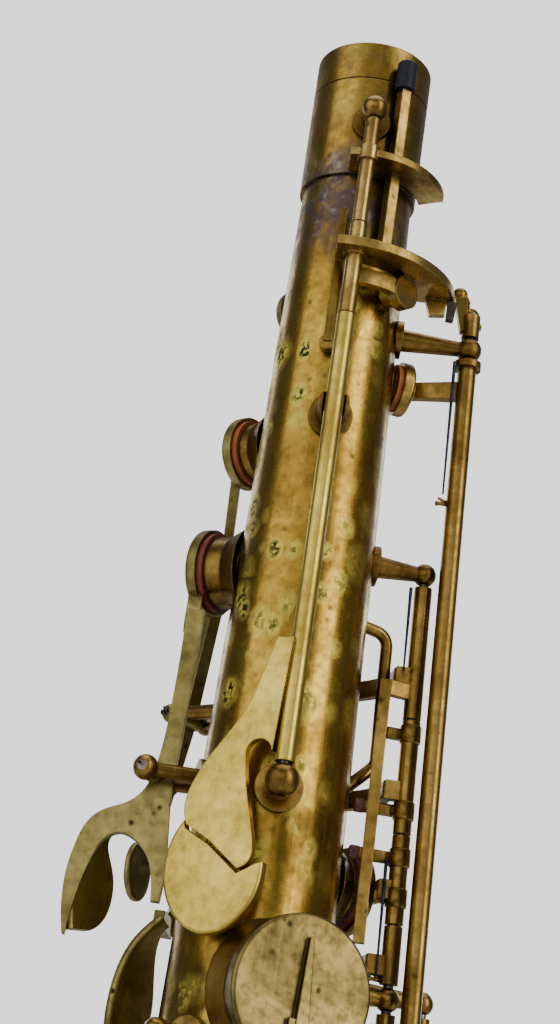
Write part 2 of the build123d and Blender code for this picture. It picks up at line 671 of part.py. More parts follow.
def palm_e_flat_key():
    """Slim lever from the E flat cup down to a small touch."""
    line = PALM_E_FLAT_LINE
    hole = HOLES["palm_e_flat"]
    top = at(hole[0], cup_top(hole) + 0.2, hole[1])
    hub = line.centre
    inward = Vector(-hub.X, -hub.Y, 0).normalized()
    knee = Vector(-13.6, 17.6, 500.0)
    upper = bar(top + Vector(-0.4, -1.6, 2.0), knee - Vector(0, 0, 1), (0, 0, 1), 3.2, 3.2, 1.6)
    lower = bar(knee + Vector(0, 0, 1.2), hub - inward * 0.3, line.direction, 2.2, 2.6, 1.7)
    strip = upper + lower + Pos(*knee) * Sphere(1.2)
    boss = bar(top - at(hole[0], 0.8, 0), top + at(hole[0], 0.4, 0), (0, 0, 1), 5.0, 4.0, 3.6)
    tail = bar(hub - inward * 0.4, (-19.4, 14.6, 448.6), line.direction, 3.0, 3.4, 1.7)
    touch = spoon((-19.8, 13.4, 446.6), -118, 4, 7.0, 9.6)
    whole = joined(cup(hole), boss, strip, line.tube(-2.1, 2.1), tail, touch)
    return whole - line.hollow() - pad(hole)


def palm_f_key():
    """Longest palm lever, from the high F cup to the lowest touch."""
    line = PALM_F_LINE
    hole = HOLES["palm_f"]
    top = at(hole[0], cup_top(hole) + 0.2, hole[1])
    hub = line.centre
    outward = Vector(hub.X, hub.Y, 0).normalized()
    foot = hub + outward * 0.3 - Vector(0, 0, 1.5)
    strip = bar(top + Vector(0, 0, 2.0), foot, line.direction, 2.4, 3.2, 1.7)
    boss = bar(top - at(hole[0], 0.8, 0), top + at(hole[0], 0.4, 0), (0, 0, 1), 4.0, 3.4, 3.0)
    tail = bar(hub + outward * 0.2, (-14.0, 20.0, 439.0), line.direction, 3.0, 3.4, 1.7)
    arch = bar((-13.9, 20.6, 439.2), (-14.9, 6.2, 438.8), (0, 0, 1), 3.0, 2.4, 1.7)
    edge = (
        ((-14.6, 5.0, 439.0), 3.0), ((-17.2, 5.0, 436.0), 5.2), ((-19.2, 5.0, 432.2), 8.0),
        ((-20.2, 5.0, 427.6), 9.6), ((-20.4, 5.0, 423.2), 9.6), ((-20.0, 5.0, 419.6), 7.4),
        ((-19.4, 5.0, 417.4), 4.2),
    )
    touch = curled_leaf(edge, Vector(0.616, 0.788, 0))
    whole = joined(cup(hole), boss, strip, line.tube(-2.1, 2.1), tail, arch, touch)
    return whole - line.hollow() - pad(hole)


def g_sharp_key():
    """Large back cup whose tapering ridge runs down to a hinge across the body."""
    line = G_SHARP_LINE
    hole = HOLES["g_sharp"]
    top = cup_top(hole)
    out = at(hole[0], 1, 0)
    hub = line.centre
    peak = at(hole[0], top + 0.1, hole[1] + 7.5)
    ridge = bar(peak, hub + out * 1.4 + Vector(0, 0, 1), line.direction, 0.6, 4.6, 1.8)
    blade = bar(at(hole[0], top - 0.2, hole[1] - 4), hub, line.direction, 4.0, 4.6, 2.4)
    tail = bar(hub + Vector(0, 0, 1), hub + out * 0.5 - Vector(0, 0, 9), line.direction, 4.2, 3.4, 1.6)
    return joined(cup(hole), ridge, blade, line.tube(-4.4, 4.4), tail) - line.hollow() - pad(hole)


def closed_key(line, hole_name, tube_top, tube_bottom, radius=HINGE_TUBE_RADIUS):
    """Tube, straight arm and cup of a key that a spring holds shut."""
    hole = HOLES[hole_name]
    hub = line.point(hole[1])
    top = at(hole[0], cup_top(hole) + 0.2, hole[1])
    arm = bar(top + (top - hub).normalized() * 2.4, hub, (0, 0, 1), 2.6, 3.2, 1.6)
    boss = facing(hole[0], cup_top(hole) - CUP_WALL, hole[1]) * disc(2.0, 1.4)
    tube = line.tube(tube_top - END_GAP, tube_bottom + END_GAP, radius)
    return [joined(tube, arm, boss, cup(hole)) - line.hollow() - pad(hole), pad(hole)]


def side_e_key():
    brass, felt = closed_key(SIDE_E_LINE, "side_e", 536.9, 347.5, 1.55)
    collar = SIDE_E_LINE.tube(536.8, 535.6, 2.3)
    touch = spoon(SIDE_E_LINE.point(392) + Vector(1.0, -2.4, 0), 64, 0, 8.0, 20.0)
    return joined(brass, collar, touch) - SIDE_E_LINE.hollow(), felt


def side_c_key(hole_name, tube_top, tube_bottom, touch_height):
    """Side key whose touch overhangs the neighbouring tube."""
    brass, felt = closed_key(SIDE_C_LINE, hole_name, tube_top, tube_bottom)
    hub = SIDE_C_LINE.point(touch_height)
    centre = at(94, hypot(hub.X, hub.Y) + 2.2, touch_height)
    touch = spoon(centre, 100, 0, 8.4, 18.0, 1.5)
    bridge = bar(hub, centre + (hub - centre) * 0.2, (0, 0, 1), 4.0, 4.0, 1.4)
    return joined(brass, touch, bridge) - SIDE_C_LINE.hollow(), felt


def g_sharp_touch_key():
    """Little-finger touch on a short tube, with an arm that lifts the large back cup's lever."""
    line = G_TOUCH_LINE
    height = 411.5
    surface = body_radius(height)
    arm = arc_arm(-37, 29, surface + 3.6, surface + 4.8, height, 2.6)
    lug = bar(at(-36, surface + 4.0, height), line.point(height), (0, 0, 1), 2.6, 2.6, 2.0)
    touch = facing(-52, surface + 7.2, 404) * extrude(RectangleRounded(11.0, 9.0, 2.0), 1.6)
    return joined(line.tube(417.9, 398.1), arm, lug, touch) - line.hollow()


def low_key(line, hole_name, tube_top, tube_bottom, touch_height, touch_turn, closed=False):
    """Bell key: long tube with a cup at the bottom and a little-finger touch at the top."""
    hole = HOLES[hole_name]
    tube = line.tube(tube_top - END_GAP, tube_bottom + END_GAP)
    arms = arm_to_cup(line, hole)
    reach = hypot(line.point(touch_height).X, line.point(touch_height).Y)
    plate = extrude(RectangleRounded(10.0, 8.4, 1.6), 1.8)
    riser = Box(2.2, 6.0, 3.4, align=(Align.CENTER, Align.CENTER, Align.MIN))
    riser = facing(line.azimuth, reach + 0.6, touch_height) * riser
    touch = facing(line.azimuth + touch_turn, reach + TOUCH_RISE, touch_height) * plate + riser
    brass = joined(tube, arms, cup(hole), touch) - line.hollow()
    parts = [brass, pad(hole)]
    return parts if closed else opened(parts, line, hole, BELL_KEY_ANGLE)


# ---- fixed trim
def thumb_hook():
    """Hook under the right thumb, on a screwed base plate."""
    height = 330.0
    surface = body_radius(height)
    plate = facing(0, surface - 2, height) * extrude(RectangleRounded(9, 22, 3), 3.2)
    stem = Pos(0, -surface - 5, height + 2) * Box(6, 12, 3.4)
    rib = Pos(0, -surface - 11.6, height - 1) * Box(6, 2.6, 9)
    return joined(plate, stem, rib) - SKIN


def strap_ring():
    """Flat ring that the neck strap's hook clips into."""
    height = 372.0
    surface = body_radius(height)
    centre = Pos(0, -surface - 6.2, height)
    eye = Rot(0, 90, 0) * (Cylinder(5.4, 2.4) - Cylinder(3.6, 2.4))
    foot = facing(0, surface - 2, height) * disc(4.2, 3.4)
    return foot + centre * eye - SKIN


def wire_loop(azimuth, high, low, stand, radius):
    """Bent wire guard with both ends soldered to the body."""
    top, bottom = body_radius(high), body_radius(low)
    path = FilletPolyline(
        (top - 1.5, high), (top + stand, high - 1), (bottom + stand, low + 6), (bottom - 1.5, low),
        radius=[2.4, 2.4],
    )
    plane = Plane(origin=(0, 0, 0), x_dir=at(azimuth, 1, 0), z_dir=at(azimuth + 90, -1, 0))
    path = plane * path
    section = Plane(origin=path @ 0, z_dir=path % 0) * Circle(radius)
    return sweep(section, path) - SKIN


def side_key_guard():
    return wire_loop(107, 489.5, 461.0, 4.4, 1.0)


def low_key_guard():
    """Two wire guards, one each side of the bell keys' cups."""
    return [wire_loop(azimuth, 185.5, 104.0, 14.5, 1.2) for azimuth in (-128, -172)]


def needle_springs():
    """Blued steel needles, each standing free beside its hinge tube."""
    places = [
        (SIDE_E_LINE, 536.0, 512.0), (STACK_LINE, 496.0, 482.0), (STACK_LINE, 452.0, 434.0),
        (STACK_LINE, 427.0, 405.0), (STACK_LINE, 385.0, 366.0), (STACK_LINE, 310.0, 288.0),
    ]
    made = []
    for line, top, bottom in places:
        aside = at(line.azimuth, -2.4, 0) + at(line.azimuth - 90, 1.7, 0)
        start, end = line.point(top) + aside, line.point(bottom) + aside
        made.append(Plane(origin=end, z_dir=start - end) * cone(0.16, 0.3, (start - end).length))
    return made


def flat_spring():
    """Long flat spring screwed to the body beside the octave tube."""
    strip = bar((-1.9, -10.7, 556.5), (-1.6, -12.0, 531.5), (1, 0, 0), 1.1, 1.5, 0.5)
    screw = facing(-8, body_radius(531) - 0.5, 531.4) * disc(1.3, 2.4)
    return strip + screw - SKIN


def posts_on(line, heights, ball_radius=BALL_RADIUS, foot_radius=FOOT_RADIUS):
    return [post(line, height, ball_radius, foot_radius) for height in heights]


def main():
    os.makedirs("parts", exist_ok=True)
    save("body_tube", body_tube())
    save("tone_hole_chimneys", *[chimney_ring(hole) for hole in HOLES.values()])
    save("bell", bell())
    save("bell_rim_ring", bell_rim_ring())
    save("bell_joint_ring", bell_joint_ring())
    save("neck_receiver", neck_receiver())
    save("receiver_top_ring", receiver_top_ring())
    save("receiver_clamp_screw", receiver_clamp_screw())
    save("octave_posts", *octave_posts())
    save("octave_rod", OCTAVE_LINE.rod(575.2, 456.2))
    save("octave_pip", octave_pip())
    save("octave_flat_spring", flat_spring())
    save("neck_octave_lever", neck_octave_lever())
    save("octave_sleeve", octave_sleeve())
    save("octave_transfer_lever", octave_transfer_lever())
    save("octave_vent_pad", octave_vent_pad())
    save("transfer_cork", transfer_cork())
    save("changeover_lever", changeover_lever())
    save("octave_thumb_key", octave_thumb_key())
    save("thumb_rest", thumb_rest())

    cross_posts = PALM_D_LINE.posts(2.0, 2.9) + G_SHARP_LINE.posts(1.9, 2.4)
    for line in (PALM_E_FLAT_LINE, PALM_F_LINE):
        cross_posts += line.posts(1.6)
    save("cross_posts", *cross_posts)
    cross_lines = (PALM_D_LINE, PALM_E_FLAT_LINE, PALM_F_LINE, G_SHARP_LINE)
    save("cross_rods", *[line.rod() for line in cross_lines])
    for name, make in (("palm_d", palm_d_key), ("palm_e_flat", palm_e_flat_key), ("palm_f", palm_f_key)):
        save(f"{name}_key", make())
        save(f"{name}_pad", pad(HOLES[name]))
    save("g_sharp_key", g_sharp_key())
    save("g_sharp_pad", pad(HOLES["g_sharp"]))

    paired = joined(post(STACK_LINE, 431.0), post(SIDE_C_LINE, 432.0, 1.8, 2.6))
    right_posts = posts_on(SIDE_E_LINE, (539.2, 345.0), 2.15, 3.2) + [post(SIDE_C_LINE, 344.0), paired]
    save("right_posts", *right_posts, *posts_on(STACK_LINE, (499.0, 386.5, 318.0, 268.0)))
    save("side_rods", SIDE_E_LINE.rod(546.2, 343.2), SIDE_C_LINE.rod(433.7, 342.4))
    save("stack_rods", STACK_LINE.rod(500.6, 266.4))
    brass, felt = side_e_key()
    save("side_e_key", brass)
    save("side_e_pad", felt)
    save("side_c_key", *side_c_key("side_c", 429.9, 383.0, 400.0))
    save("side_b_flat_key", *side_c_key("side_b_flat", 383.0, 346.1, 372.0))

    stack = (
        ("c_vent", 496.9, 474.6, None), ("b", 474.6, 456.2, 463.0), ("bis", 456.2, 442.2, None),
        ("a", 442.2, 433.1, 436.0), ("g", 428.9, 388.6, 412.0), ("f_sharp", 384.4, 368.0, None),
        ("f", 368.0, 346.0, 356.5), ("e", 346.0, 320.1, 334.0), ("d", 315.9, 270.1, 300.0),
    )
    for name, top, bottom, pearl in stack:
        parts = stack_key(name, top, bottom, pearl)
        if name == "bis":
            save("bis_pad", parts.pop(1))
        save(f"{name}_key", *parts)

    low_posts = posts_on(LOW_C_LINE, (262.0, 205.0)) + posts_on(G_TOUCH_LINE, (420.0, 396.0))
    for line, guide in ((LOW_B_FLAT_LINE, 236.0), (LOW_B_LINE, 248.0), (LOW_C_SHARP_LINE, 264.0)):
        low_posts += posts_on(line, (line.top, line.bottom)) + [cradle(line, guide, 3.0, 2.4)]
    save("low_posts", *low_posts)
    save("low_rods", LOW_C_LINE.rod(263.6, 203.4), LOW_B_FLAT_LINE.rod(357.6, 110.4),
         LOW_B_LINE.rod(357.6, 150.4), LOW_C_SHARP_LINE.rod(357.6, 190.4), G_TOUCH_LINE.rod(421.6, 394.4))

    save("low_e_flat_key", *low_key(LOW_C_LINE, "low_e_flat", 259.9, 243.0, 255.0, 10, closed=True))
    save("low_c_key", *low_key(LOW_C_LINE, "low_c", 243.0, 207.1, 238.0, 9))
    save("low_c_sharp_key", *low_key(LOW_C_SHARP_LINE, "low_c_sharp", 353.9, 194.1, 331.0, -9))
    save("low_b_key", *low_key(LOW_B_LINE, "low_b", 353.9, 154.1, 341.0, -9))
    save("low_b_flat_key", *low_key(LOW_B_FLAT_LINE, "low_b_flat", 353.9, 114.1, 351.0, -9))
    save("g_sharp_touch_key", g_sharp_touch_key())

    save("side_key_guard", side_key_guard())
    save("low_key_guard", *low_key_guard())
    save("thumb_hook", thumb_hook())
    save("strap_ring", strap_ring())
    save("needle_springs", *needle_springs())


if __name__ == "__main__":
    main()
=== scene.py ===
import json
import math

import bmesh
import bpy
from mathutils import Matrix, Vector


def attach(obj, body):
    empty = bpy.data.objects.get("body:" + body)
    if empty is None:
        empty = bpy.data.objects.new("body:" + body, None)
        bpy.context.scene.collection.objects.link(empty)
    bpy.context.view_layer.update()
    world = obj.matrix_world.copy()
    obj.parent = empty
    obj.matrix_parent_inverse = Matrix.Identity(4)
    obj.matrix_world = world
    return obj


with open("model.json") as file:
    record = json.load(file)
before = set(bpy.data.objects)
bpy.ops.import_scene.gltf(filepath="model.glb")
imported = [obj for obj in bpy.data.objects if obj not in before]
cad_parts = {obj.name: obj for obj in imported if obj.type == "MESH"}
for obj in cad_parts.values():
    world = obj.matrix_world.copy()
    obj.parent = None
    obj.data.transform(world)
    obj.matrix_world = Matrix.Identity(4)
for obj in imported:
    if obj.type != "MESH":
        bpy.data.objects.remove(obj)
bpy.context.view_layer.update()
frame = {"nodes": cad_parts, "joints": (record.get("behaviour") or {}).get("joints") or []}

MM = 0.001
NODES = frame["nodes"]
JOINTS = {joint["child"]: joint for joint in frame["joints"]}


# ------------------------------------------------------------------ node helpers
class Graph:
    """Small helper that adds and links shader nodes, on coordinates fixed to the piece."""

    def __init__(self, name):
        self.material = bpy.data.materials.new(name)
        self.material.use_nodes = True
        self.tree = self.material.node_tree
        self.shader = self.tree.nodes["Principled BSDF"]
        self.place = self.add("ShaderNodeTexCoord").outputs["Object"]

    def add(self, kind, **settings):
        node = self.tree.nodes.new(kind)
        for key, value in settings.items():
            setattr(node, key, value)
        return node

    def link(self, source, socket):
        self.tree.links.new(source, socket)

    def scaled(self, x, y, z):
        """The piece's coordinates stretched along each axis."""
        node = self.add("ShaderNodeMapping")
        node.inputs["Scale"].default_value = (x, y, z)
        self.link(self.place, node.inputs["Vector"])
        return node.outputs["Vector"]

    def axes(self):
        """The piece's coordinates split into X, Y and Z."""
        node = self.add("ShaderNodeSeparateXYZ")
        self.link(self.place, node.inputs["Vector"])
        return node.outputs

    def noise(self, scale, detail=4, rough=0.55, vector=None, distortion=0.0):
        node = self.add("ShaderNodeTexNoise")
        node.inputs["Scale"].default_value = scale
        node.inputs["Detail"].default_value = detail
        node.inputs["Roughness"].default_value = rough
        node.inputs["Distortion"].default_value = distortion
        self.link(vector or self.place, node.inputs["Vector"])
        return node.outputs["Fac"]

    def cells(self, scale, output="Distance", vector=None, feature="F1"):
        node = self.add("ShaderNodeTexVoronoi", feature=feature)
        node.inputs["Scale"].default_value = scale
        self.link(vector or self.place, node.inputs["Vector"])
        return node.outputs[output]

    def ramp(self, source, stops):
        """Colour ramp through (position, colour) stops."""
        node = self.add("ShaderNodeValToRGB")
        points = node.color_ramp.elements
        while len(points) < len(stops):
            points.new(0.5)
        for point, (position, colour) in zip(points, stops):
            point.position = position
            point.color = (*colour, 1)
        self.link(source, node.inputs["Fac"])
        return node.outputs["Color"]

    def range(self, source, low, high, to_low=0.0, to_high=1.0):
        """Maps low..high to to_low..to_high and clamps what lies beyond."""
        node = self.add("ShaderNodeMapRange", clamp=True)
        node.inputs["From Min"].default_value = low
        node.inputs["From Max"].default_value = high
        node.inputs["To Min"].default_value = to_low
        node.inputs["To Max"].default_value = to_high
        self.link(source, node.inputs["Value"])
        return node.outputs["Result"]

    def math(self, operation, first, second):
        """Operation on two sockets or numbers, clamped to 0..1."""
        node = self.add("ShaderNodeMath", operation=operation, use_clamp=True)
        for socket, value in zip(node.inputs, (first, second)):
            if isinstance(value, (int, float)):
                socket.default_value = value
            else:
                self.link(value, socket)
        return node.outputs["Value"]

    def add_up(self, first, second):
        return self.math("ADD", first, second)

    def product(self, first, *others):
        for other in others:
            first = self.math("MULTIPLY", first, other)
        return first

    def mix(self, share, first, second, blend="MIX"):
        """Mixes two colours; the node's colour inputs are its sockets 6 and 7."""
        node = self.add("ShaderNodeMix", data_type="RGBA", blend_type=blend)
        for index, value in ((0, share), (6, first), (7, second)):
            socket = node.inputs[index]
            if isinstance(value, tuple):
                socket.default_value = (*value, 1)
            elif isinstance(value, (int, float)):
                socket.default_value = value
            else:
                self.link(value, socket)
        return node.outputs[2]

    def bump(self, source, distance, strength=0.5, soft_edge=0.0):
        """Relief from a height map; soft_edge is the radius that sharp edges are shaded with."""
        node = self.add("ShaderNodeBump")
        node.inputs["Strength"].default_value = strength
        node.inputs["Distance"].default_value = distance
        if soft_edge:
            edge = self.add("ShaderNodeBevel", samples=4)
            edge.inputs["Radius"].default_value = soft_edge
            self.link(edge.outputs["Normal"], node.inputs["Normal"])
        self.link(source, node.inputs["Height"])
        self.link(node.outputs["Normal"], self.shader.inputs["Normal"])

    def crevice(self, distance):
        """White on open surfaces, dark where surfaces meet."""
        node = self.add("ShaderNodeAmbientOcclusion", samples=6)
        node.inputs["Distance"].default_value = distance
        return node.outputs["AO"]


# heights above the bell rim, in metres, over which the stain below the receiver comes in and fades out
STAIN_COMES_IN = (0.545, 0.557)
STAIN_FADES_OUT = (0.5665, 0.5715)
# heights over which the spots come in and fade out, and each size's cell scale and share of empty cells
SPOTS_COME_IN = (0.40, 0.45)
SPOTS_FADE_OUT = (0.548, 0.56)
SPOT_SIZES = ((150, 0.22), (265, 0.45))
STAIN_COLOUR = (0.085, 0.062, 0.068)
BARE_METAL_COLOUR = (0.30, 0.25, 0.22)
PIT_COLOUR = (0.028, 0.022, 0.012)
HALO_COLOUR = (0.68, 0.56, 0.095)
SPOT_COLOUR = (0.026, 0.034, 0.010)
# colour for grime that also paints the shade in crevices and where parts meet
GRIME_AND_SHADE_COLOUR = (0.022, 0.012, 0.005)


def add_pits(g, colour, rough_map, amount):
    """Small dark pits in patches."""
    pit = g.range(g.cells(430), 0.10, 0.26, 1, 0)
    gate = g.range(g.noise(160, 3), 0.50, 0.58, 0, amount)
    pit = g.product(pit, gate)
    return g.mix(pit, colour, PIT_COLOUR), g.add_up(rough_map, g.product(pit, 0.4))


def add_stain(g, colour, rough_map):
    """Purple-grey stain round the top of the body, rubbed bare in places."""
    height = g.axes()["Z"]
    band = g.product(g.range(height, *STAIN_COMES_IN, 0, 1), g.range(height, *STAIN_FADES_OUT, 1, 0.18))
    cloud = g.range(g.noise(150, 6, 0.7, distortion=1.2), 0.40, 0.56, 0, 1)
    patch = g.product(cloud, band)
    colour = g.mix(g.product(patch, 0.86), colour, STAIN_COLOUR)
    bare = g.product(g.range(g.noise(330, 5, 0.7), 0.56, 0.64, 0, 0.6), patch)
    return g.mix(bare, colour, BARE_METAL_COLOUR), g.add_up(rough_map, g.product(patch, 0.22))


def add_spots(g, colour, rough_map):
    """Dark speckled spots with yellow-green halos, fewer of them towards +X and +Y."""
    axes = g.axes()
    left = g.range(axes["X"], -0.001, 0.009, 1.0, 0.35)
    front = g.range(axes["Y"], 0.000, 0.010, 1.0, 0.3)
    upper = g.product(g.range(axes["Z"], *SPOTS_COME_IN, 0.3, 1), g.range(axes["Z"], *SPOTS_FADE_OUT, 1, 0.2))
    area = g.product(g.range(g.noise(60, 2), 0.36, 0.46, 0, 1), left, upper, front)
    speckle = g.range(g.noise(1250, 2), 0.44, 0.52, 0, 1)
    for scale, empty in SPOT_SIZES:
        vector = g.scaled(1, 1, 0.75)
        cell = g.add_up(g.cells(scale, vector=vector), g.product(g.noise(900, 3), 0.2))
        chosen = g.add("ShaderNodeSeparateColor")
        g.link(g.cells(scale, "Color", vector), chosen.inputs["Color"])
        pick = g.product(g.range(chosen.outputs["Red"], empty, empty + 0.02, 0, 1), area)
        edge = g.math("SUBTRACT", cell, g.range(chosen.outputs["Green"], 0, 1, -0.06, 0.14))
        halo = g.product(g.range(edge, 0.34, 0.54, 1, 0), pick)
        colour = g.mix(g.product(halo, 0.9), colour, HALO_COLOUR)
        core = g.product(g.range(edge, 0.30, 0.46, 1, 0), pick, speckle)
        colour = g.mix(core, colour, SPOT_COLOUR)
        rough_map = g.add_up(rough_map, g.product(halo, 0.3))
    return colour, rough_map


def brass(name, dark, middle, light, rough, pits, spots=False, stain=False, grime_and_shade=0.75):
    """Old bare brass: blotched patina, fine wiping lines, pits, and grime together with painted shade that
    darkens the places where parts meet.
    """
    g = Graph(name)
    blotch = g.noise(75, 6, 0.62, distortion=0.6)
    colour = g.ramp(blotch, [(0.30, dark), (0.47, middle), (0.68, light)])
    mottle = g.noise(620, 5, 0.6)
    colour = g.mix(g.range(mottle, 0.42, 0.72, 0, 0.55), colour, dark)
    streak = g.noise(1.0, 3, 0.5, g.scaled(1400, 1400, 28))
    colour = g.mix(g.range(streak, 0.52, 0.75, 0, 0.28), colour, light)
    smoothest, roughest = rough
    rough_map = g.range(blotch, 0.3, 0.7, roughest, smoothest)
    rough_map = g.add_up(rough_map, g.range(mottle, 0.45, 0.75, 0, 0.16))
    colour, rough_map = add_pits(g, colour, rough_map, pits)
    if stain:
        colour, rough_map = add_stain(g, colour, rough_map)
    if spots:
        colour, rough_map = add_spots(g, colour, rough_map)
    # painted shade: ambient occlusion darkens crevices and the places where parts meet, standing for grime
    # together with the shade that falls there
    open_side = g.crevice(2.2 * MM)
    grime_and_shade_mask = g.product(g.range(open_side, 0.25, 0.85, 1, 0), grime_and_shade)
    colour = g.mix(grime_and_shade_mask, colour, GRIME_AND_SHADE_COLOUR)
    g.link(colour, g.shader.inputs["Base Color"])
    g.link(rough_map, g.shader.inputs["Roughness"])
    g.shader.inputs["Metallic"].default_value = 1.0
    relief = g.add_up(g.product(mottle, 0.6), g.product(streak, 0.4))
    g.bump(relief, 0.05 * MM, 0.55, 0.28 * MM)
    return g.material


def leather(name, dark, light, edge):
    """Old leather pad face with fine grain."""
    g = Graph(name)
    tone = g.noise(420, 6, 0.65)
    grain = g.cells(3200)
    colour = g.ramp(tone, [(0.32, dark), (0.70, light)])
    colour = g.mix(g.range(grain, 0.2, 0.5, 0.35, 0), colour, edge)
    g.link(colour, g.shader.inputs["Base Color"])
    g.link(g.range(tone, 0.3, 0.7, 0.72, 0.5), g.shader.inputs["Roughness"])
    g.shader.inputs["Specular IOR Level"].default_value = 0.35
    g.bump(grain, 0.06 * MM, 0.6)
    return g.material


def rubber(name):
    """Black tubing gone slightly grey, with dust and small cracks."""
    g = Graph(name)
    dust = g.noise(800, 5, 0.7)
    cracks = g.range(g.cells(900, feature="DISTANCE_TO_EDGE"), 0.0, 0.06, 1, 0)
    colour = g.ramp(dust, [(0.35, (0.004, 0.005, 0.008)), (0.75, (0.014, 0.017, 0.026))])
    colour = g.mix(g.product(cracks, 0.5), colour, (0.004, 0.004, 0.006))
    g.link(colour, g.shader.inputs["Base Color"])
    g.link(g.range(dust, 0.3, 0.7, 0.42, 0.62), g.shader.inputs["Roughness"])
    g.shader.inputs["Specular IOR Level"].default_value = 0.22
    g.bump(g.math("SUBTRACT", dust, cracks), 0.08 * MM, 0.4)
    return g.material


def cork(name, dark, light):
    """Pressed cork with dark grains."""
    g = Graph(name)
    grains = g.cells(1700, "Color")
    tone = g.noise(900, 6, 0.7)
    colour = g.ramp(tone, [(0.32, dark), (0.68, light)])
    colour = g.mix(0.22, colour, grains, "MULTIPLY")
    g.link(colour, g.shader.inputs["Base Color"])
    g.link(g.range(tone, 0.3, 0.7, 0.85, 0.68), g.shader.inputs["Roughness"])
    g.bump(tone, 0.15 * MM, 0.7)
    return g.material


def steel(name, dark, light, rough):
    """Turned steel with fine rings, dull oxide and oil."""
    g = Graph(name)
    rust = g.noise(500, 5, 0.65)
    rings = g.noise(1.0, 2, 0.5, g.scaled(200, 200, 5200))
    colour = g.ramp(rust, [(0.34, dark), (0.62, light)])
    g.link(colour, g.shader.inputs["Base Color"])
    g.link(g.range(rust, 0.3, 0.7, rough + 0.16, rough), g.shader.inputs["Roughness"])
    g.shader.inputs["Metallic"].default_value = 1.0
    g.bump(rings, 0.02 * MM, 0.4)
    return g.material


def pearl(name):
    """Mother of pearl: soft bands of green, cream, rose and grey."""
    g = Graph(name)
    bands = g.noise(1.0, 4, 0.6, g.scaled(260, 260, 620), 1.6)
    green, cream = (0.62, 0.66, 0.60), (0.80, 0.77, 0.70)
    rose, grey = (0.78, 0.68, 0.66), (0.66, 0.72, 0.70)
    colour = g.ramp(bands, [(0.30, green), (0.46, cream), (0.58, rose), (0.72, grey)])
    g.link(colour, g.shader.inputs["Base Color"])
    g.link(g.range(bands, 0.3, 0.7, 0.16, 0.30), g.shader.inputs["Roughness"])
    g.shader.inputs["Coat Weight"].default_value = 0.5
    g.bump(bands, 0.03 * MM, 0.25)
    return g.material


BODY = brass(
    "body_patina", (0.098, 0.055, 0.010), (0.280, 0.168, 0.024), (0.470, 0.302, 0.048),
    rough=(0.17, 0.30), pits=0.45, spots=True, stain=True,
)
KEY = brass(
    "key_patina", (0.100, 0.058, 0.013), (0.245, 0.150, 0.034), (0.410, 0.270, 0.070),
    rough=(0.20, 0.38), pits=0.6,
)
PALM = brass(
    "palm_patina", (0.120, 0.092, 0.026), (0.270, 0.218, 0.066), (0.410, 0.340, 0.115),
    rough=(0.26, 0.44), pits=1.0,
)
TOUCH = brass(
    "touch_patina", (0.290, 0.190, 0.030), (0.510, 0.370, 0.062), (0.640, 0.480, 0.100),
    rough=(0.24, 0.38), pits=0.12, grime_and_shade=0.9,
)
TUBES = brass(
    "octave_patina", (0.135, 0.080, 0.019), (0.330, 0.215, 0.055), (0.540, 0.385, 0.125),
    rough=(0.20, 0.36), pits=0.5, grime_and_shade=1.0,
)
POST = brass(
    "post_patina", (0.075, 0.041, 0.010), (0.195, 0.113, 0.025), (0.370, 0.235, 0.060),
    rough=(0.20, 0.38), pits=0.35, grime_and_shade=0.95,
)
CUP = brass(
    "cup_patina", (0.062, 0.045, 0.014), (0.150, 0.112, 0.034), (0.270, 0.208, 0.068),
    rough=(0.22, 0.42), pits=0.7,
)
ROD = steel("rod_oxide", (0.060, 0.050, 0.040), (0.210, 0.185, 0.150), 0.30)
BLUED = steel("blued_steel", (0.008, 0.011, 0.022), (0.030, 0.038, 0.062), 0.26)
ORANGE = leather("orange_leather", (0.190, 0.050, 0.014), (0.420, 0.125, 0.030), (0.120, 0.030, 0.010))
RED = leather("red_leather", (0.120, 0.022, 0.012), (0.260, 0.060, 0.034), (0.060, 0.012, 0.008))
TAN = leather("tan_leather", (0.200, 0.105, 0.040), (0.400, 0.235, 0.105), (0.130, 0.065, 0.025))
RUBBER = rubber("black_tubing")
CORK = cork("dark_cork", (0.012, 0.010, 0.010), (0.060, 0.042, 0.034))
RED_CORK = cork("stained_cork", (0.110, 0.045, 0.032), (0.300, 0.150, 0.115))
PEARL = pearl("pearl")

# nodes that aren't listed here get KEY
NODES_OF = (
    (BODY, ("body_tube", "bell", "bell_rim_ring", "bell_joint_ring")),
    (BODY, ("neck_receiver", "receiver_top_ring", "octave_pip")),
    (POST, ("octave_posts", "cross_posts", "right_posts", "low_posts", "tone_hole_chimneys")),
    (POST, ("side_key_guard", "low_key_guard", "thumb_hook", "strap_ring", "receiver_clamp_screw")),
    (TOUCH, ("octave_thumb_key", "thumb_rest")),
    (TUBES, ("neck_octave_lever", "octave_transfer_lever")),
    (PALM, ("palm_d_key", "palm_e_flat_key", "palm_f_key")),
    (CUP, ("g_sharp_key",)),
    (ROD, ("octave_rod", "cross_rods", "side_rods", "stack_rods", "low_rods")),
    (BLUED, ("needle_springs",)),
    (RUBBER, ("octave_sleeve",)),
    (CORK, ("transfer_cork", "octave_vent_pad")),
    (RED, ("palm_d_pad", "bis_pad")),
    (ORANGE, ("palm_e_flat_pad", "palm_f_pad", "side_e_pad")),
    (TAN, ("g_sharp_pad",)),
)
BY_NODE = {node: material for material, nodes in NODES_OF for node in nodes}

# where the CAD parts have the body, the pads and the pearls, in millimetres: a face is the pad's within
# PAD_DEPTH past the closed pad's seat, and the pearl's when it is more than PEARL_DEPTH past it
TUBE_TOP, TUBE_TOP_RADIUS, TAPER = 564.0, 9.4, 0.0214
SEAT_GAP = 0.08
PAD_DEPTH, PAD_MARGIN = 0.93, 0.4
PEARL_DEPTH, PEARL_RADIUS = 5.72, 4.9

